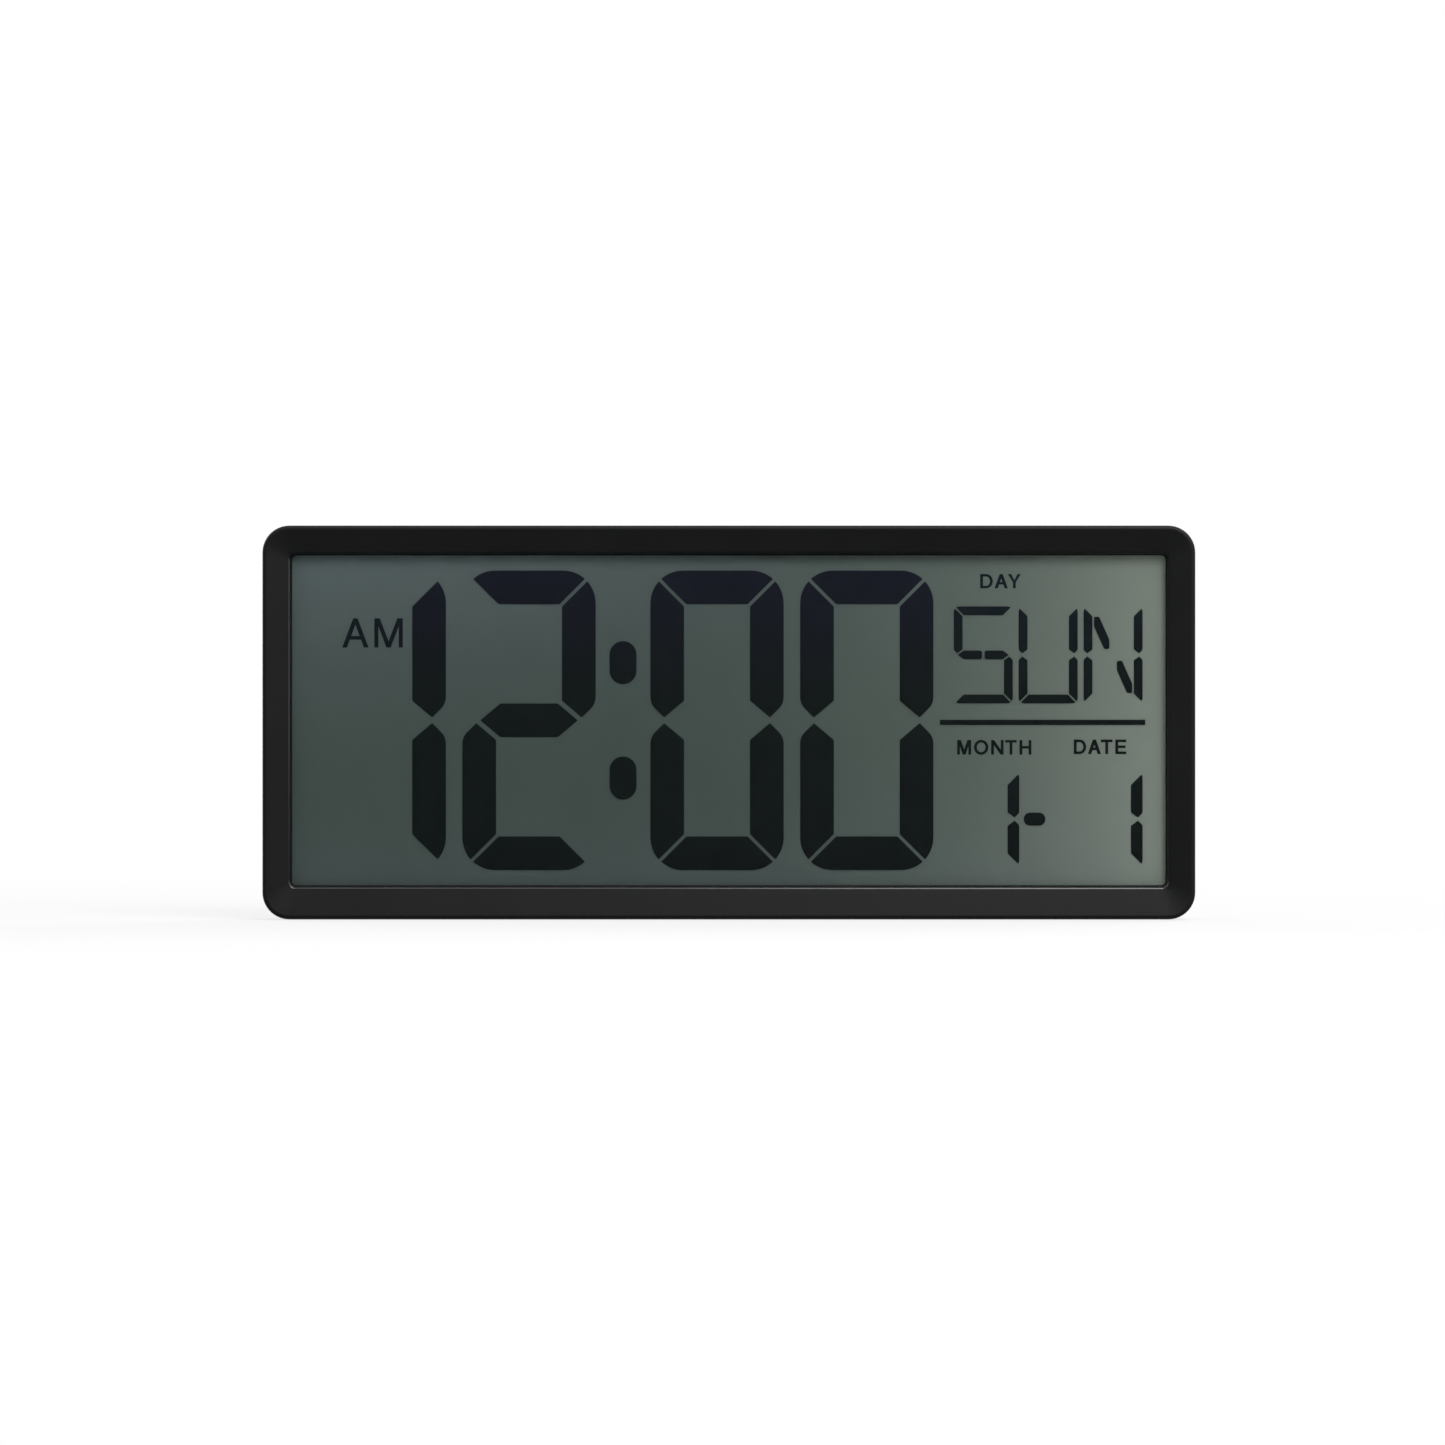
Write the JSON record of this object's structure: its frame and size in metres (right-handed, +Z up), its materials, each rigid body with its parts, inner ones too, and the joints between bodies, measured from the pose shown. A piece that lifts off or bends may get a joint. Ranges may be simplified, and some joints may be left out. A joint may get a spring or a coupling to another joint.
{
  "type": "digital wall clock",
  "caption": "Wide wall or desk clock: bevelled black frame, LCD with tall segment digits, weekday and date, rear cover with keyholes, fold-out feet, battery lid and setting buttons.",
  "frame": {"origin": "centre of the flat back of the case, on the wall plane", "axes": "+X to the right as seen from the front, +Y out of the back into the wall, +Z up; the display faces -Y"},
  "size_m": [0.36, 0.03, 0.152],
  "materials": {
    "frame_plastic": "fine satin",
    "cover_plastic": "fine texture",
    "button_plastic": "satin",
    "window_plastic": "polished clear",
    "gasket_foam": "foam",
    "polariser_film": "clear film",
    "display_glass": "polished",
    "seal_resin": "cured resin",
    "segment_dark": "dark liquid crystal",
    "reflector_film": "grey-green reflective film",
    "tray_plastic": "moulded",
    "screw_steel": "zinc plated",
    "strip_rubber": "layered",
    "board_laminate": "green solder mask",
    "blob_resin": "cured resin",
    "crystal_can": "plated",
    "capacitor_can": "sleeved can",
    "buzzer_plastic": "moulded",
    "switch_plastic": "moulded",
    "plunger_plastic": "moulded",
    "ribbon_film": "flat ribbon",
    "cell_jacket": "plain jacket",
    "contact_steel": "nickel plated",
    "lead_red": "insulated",
    "lead_black": "insulated"
  },
  "bodies": {
    "case": {"front_frame": "frame_plastic", "rear_cover": "cover_plastic", "lens": "window_plastic", "lens_gasket": "gasket_foam", "front_polariser": "polariser_film", "front_glass": "display_glass", "rear_glass": "display_glass", "cell_seal": "seal_resin", "hour_segments": "segment_dark", "minute_segments": "segment_dark", "colon_segments": "segment_dark", "day_segments": "segment_dark", "date_segments": "segment_dark", "divider_segment": "segment_dark", "reflector": "reflector_film", "display_tray": "tray_plastic", "cover_screws": "screw_steel", "tray_screws": "screw_steel", "main_board_screws": "screw_steel", "key_board_screws": "screw_steel", "contact_strips": "strip_rubber", "main_board": "board_laminate", "key_board": "board_laminate", "controller_blob": "blob_resin", "quartz_crystal": "crystal_can", "capacitors": "capacitor_can", "buzzer": "buzzer_plastic", "key_switches": "switch_plastic", "key_ribbon": "ribbon_film", "battery_upper": "cell_jacket", "battery_lower": "cell_jacket", "contact_bridge": "contact_steel", "contact_negative": "contact_steel", "contact_positive": "contact_steel", "lead_positive": "lead_red", "lead_negative": "lead_black"},
    "battery_lid": {"battery_lid": "cover_plastic"},
    "left_foot": {"left_foot": "cover_plastic"},
    "right_foot": {"right_foot": "cover_plastic"},
    "mode_button": {"mode_button": "button_plastic", "mode_plunger": "plunger_plastic"},
    "set_button": {"set_button": "button_plastic", "set_plunger": "plunger_plastic"},
    "up_button": {"up_button": "button_plastic", "up_plunger": "plunger_plastic"},
    "down_button": {"down_button": "button_plastic", "down_plunger": "plunger_plastic"},
    "format_button": {"format_button": "button_plastic", "format_plunger": "plunger_plastic"}
  },
  "joints": [
    {"name": "battery_lid_swing", "type": "hinge", "parent": "case", "child": "battery_lid", "pos_m": [0.064, -0.0014, 0.0217], "axis": [1, 0, 0], "range_deg": [0, 100]},
    {"name": "left_foot_fold", "type": "hinge", "parent": "case", "child": "left_foot", "pos_m": [-0.122, -0.0027, -0.065], "axis": [-1, 0, 0], "range_deg": [0, 92]},
    {"name": "right_foot_fold", "type": "hinge", "parent": "case", "child": "right_foot", "pos_m": [0.122, -0.0027, -0.065], "axis": [-1, 0, 0], "range_deg": [0, 92]},
    {"name": "mode_press", "type": "slide", "parent": "case", "child": "mode_button", "axis": [0, -1, 0], "range_m": [0, 0.0008], "stiffness_N_per_m": 2000},
    {"name": "set_press", "type": "slide", "parent": "case", "child": "set_button", "axis": [0, -1, 0], "range_m": [0, 0.0008], "stiffness_N_per_m": 2000},
    {"name": "up_press", "type": "slide", "parent": "case", "child": "up_button", "axis": [0, -1, 0], "range_m": [0, 0.0008], "stiffness_N_per_m": 2000},
    {"name": "down_press", "type": "slide", "parent": "case", "child": "down_button", "axis": [0, -1, 0], "range_m": [0, 0.0008], "stiffness_N_per_m": 2000},
    {"name": "format_press", "type": "slide", "parent": "case", "child": "format_button", "axis": [0, -1, 0], "range_m": [0, 0.0008], "stiffness_N_per_m": 2000}
  ]
}
